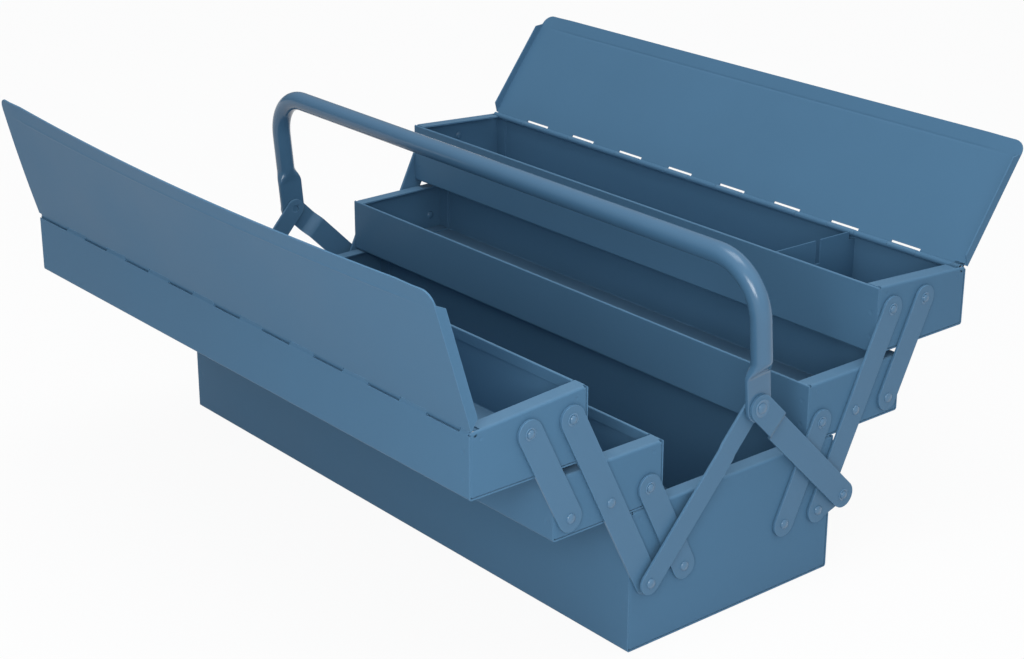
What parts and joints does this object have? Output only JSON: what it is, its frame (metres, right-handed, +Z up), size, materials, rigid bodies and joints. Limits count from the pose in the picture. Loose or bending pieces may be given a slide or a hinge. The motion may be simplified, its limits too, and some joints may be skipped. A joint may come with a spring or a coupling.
{
  "type": "cantilever tool box",
  "caption": "Folding-tray metal tool box: open base with trays that swing out on riveted arms to both sides, hinged lids and a bent tube handle on links.",
  "frame": {"origin": "centre of the base's underside", "axes": "+X along the box to its right end, -Y to the front, +Z up; shown open"},
  "size_m": [0.5694, 0.5343, 0.2947],
  "materials": {
    "panel_enamel": "satin blue enamel",
    "lid_enamel": "satin blue enamel",
    "strap_enamel": "satin blue enamel",
    "rivet_enamel": "painted over, worn at the crown",
    "handle_enamel": "glossier blue enamel",
    "divider_enamel": "satin blue enamel",
    "pin_steel": "drawn steel wire"
  },
  "bodies": {
    "base": {"base_shell": "panel_enamel", "base_left_end": "panel_enamel", "base_right_end": "panel_enamel", "base_pivot_rivets": "rivet_enamel"},
    "front_long_arms": {"front_left_long_arm": "strap_enamel", "front_right_long_arm": "strap_enamel"},
    "front_lower_arms": {"front_left_lower_arm": "strap_enamel", "front_right_lower_arm": "strap_enamel"},
    "front_upper_arms": {"front_left_upper_arm": "strap_enamel", "front_right_upper_arm": "strap_enamel"},
    "front_middle_tray": {"front_middle_shell": "panel_enamel", "front_middle_left_end": "panel_enamel", "front_middle_right_end": "panel_enamel", "front_middle_rivets": "rivet_enamel"},
    "front_upper_tray": {"front_upper_shell": "panel_enamel", "front_upper_left_end": "panel_enamel", "front_upper_right_end": "panel_enamel", "front_upper_rivets": "rivet_enamel", "front_hinge_pin": "pin_steel"},
    "front_lid": {"front_lid": "lid_enamel"},
    "rear_long_arms": {"rear_left_long_arm": "strap_enamel", "rear_right_long_arm": "strap_enamel", "crank_rivets": "rivet_enamel"},
    "rear_lower_arms": {"rear_left_lower_arm": "strap_enamel", "rear_right_lower_arm": "strap_enamel"},
    "rear_upper_arms": {"rear_left_upper_arm": "strap_enamel", "rear_right_upper_arm": "strap_enamel"},
    "rear_middle_tray": {"rear_middle_shell": "panel_enamel", "rear_middle_left_end": "panel_enamel", "rear_middle_right_end": "panel_enamel", "rear_middle_rivets": "rivet_enamel"},
    "rear_upper_tray": {"rear_upper_shell": "panel_enamel", "rear_upper_left_end": "panel_enamel", "rear_upper_right_end": "panel_enamel", "rear_upper_rivets": "rivet_enamel", "rear_hinge_pin": "pin_steel", "rear_tray_divider": "divider_enamel"},
    "rear_lid": {"rear_lid": "lid_enamel"},
    "front_links": {"left_front_link": "strap_enamel", "right_front_link": "strap_enamel", "handle_rivets": "rivet_enamel"},
    "rear_links": {"left_rear_link": "strap_enamel", "right_rear_link": "strap_enamel"},
    "handle": {"carry_handle": "handle_enamel"}
  },
  "joints": [
    {"name": "front_fold", "type": "hinge", "parent": "base", "child": "front_long_arms", "pos_m": [0, -0.0825, 0.0498], "axis": [-1, 0, 0], "range_deg": [0, 52.4]},
    {"name": "front_middle_level", "type": "hinge", "parent": "front_long_arms", "child": "front_middle_tray", "pos_m": [0, -0.11575, 0.11736], "axis": [-1, 0, 0], "range_deg": [-52.4, 0]},
    {"name": "front_upper_level", "type": "hinge", "parent": "front_long_arms", "child": "front_upper_tray", "pos_m": [0, -0.14899, 0.18492], "axis": [-1, 0, 0], "range_deg": [-52.4, 0]},
    {"name": "front_lower_arm_turn", "type": "hinge", "parent": "base", "child": "front_lower_arms", "pos_m": [0, -0.0482, 0.0498], "axis": [-1, 0, 0], "range_deg": [0, 52.4]},
    {"name": "front_upper_arm_turn", "type": "hinge", "parent": "front_middle_tray", "child": "front_upper_arms", "pos_m": [0, -0.15005, 0.11736], "axis": [-1, 0, 0], "range_deg": [0, 52.4]},
    {"name": "front_lid_hinge", "type": "hinge", "parent": "front_upper_tray", "child": "front_lid", "pos_m": [0, -0.22568, 0.19652], "axis": [-1, 0, 0], "range_deg": [0, 100.2]},
    {"name": "rear_fold", "type": "hinge", "parent": "base", "child": "rear_long_arms", "pos_m": [0, 0.0825, 0.0498], "axis": [1, 0, 0], "range_deg": [0, 52.4]},
    {"name": "rear_middle_level", "type": "hinge", "parent": "rear_long_arms", "child": "rear_middle_tray", "pos_m": [0, 0.11575, 0.11736], "axis": [1, 0, 0], "range_deg": [-52.4, 0]},
    {"name": "rear_upper_level", "type": "hinge", "parent": "rear_long_arms", "child": "rear_upper_tray", "pos_m": [0, 0.14899, 0.18492], "axis": [1, 0, 0], "range_deg": [-52.4, 0]},
    {"name": "rear_lower_arm_turn", "type": "hinge", "parent": "base", "child": "rear_lower_arms", "pos_m": [0, 0.0482, 0.0498], "axis": [1, 0, 0], "range_deg": [0, 52.4]},
    {"name": "rear_upper_arm_turn", "type": "hinge", "parent": "rear_middle_tray", "child": "rear_upper_arms", "pos_m": [0, 0.15005, 0.11736], "axis": [1, 0, 0], "range_deg": [0, 52.4]},
    {"name": "rear_lid_hinge", "type": "hinge", "parent": "rear_upper_tray", "child": "rear_lid", "pos_m": [0, 0.22568, 0.19652], "axis": [1, 0, 0], "range_deg": [0, 113.2]},
    {"name": "front_link_turn", "type": "hinge", "parent": "base", "child": "front_links", "pos_m": [0, -0.0825, 0.0498], "axis": [1, 0, 0], "range_deg": [0, 8.33]},
    {"name": "rear_link_turn", "type": "hinge", "parent": "rear_long_arms", "child": "rear_links", "pos_m": [0, 0.1039, 0.0565], "axis": [1, 0, 0], "range_deg": [-50.61, 0]},
    {"name": "handle_swing", "type": "hinge", "parent": "front_links", "child": "handle", "pos_m": [0, 0.01, 0.1513], "axis": [1, 0, 0], "range_deg": [-65, 42]}
  ],
  "couplings": [
    {"joint": "front_middle_level", "follows": "front_fold", "ratio": -1},
    {"joint": "front_upper_level", "follows": "front_fold", "ratio": -1},
    {"joint": "front_lower_arm_turn", "follows": "front_fold", "ratio": 1},
    {"joint": "front_upper_arm_turn", "follows": "front_fold", "ratio": 1},
    {"joint": "rear_middle_level", "follows": "rear_fold", "ratio": -1},
    {"joint": "rear_upper_level", "follows": "rear_fold", "ratio": -1},
    {"joint": "rear_lower_arm_turn", "follows": "rear_fold", "ratio": 1},
    {"joint": "rear_upper_arm_turn", "follows": "rear_fold", "ratio": 1},
    {"joint": "front_link_turn", "follows": "rear_fold", "ratio": 0.15874},
    {"joint": "rear_link_turn", "follows": "rear_fold", "ratio": -0.96565}
  ]
}
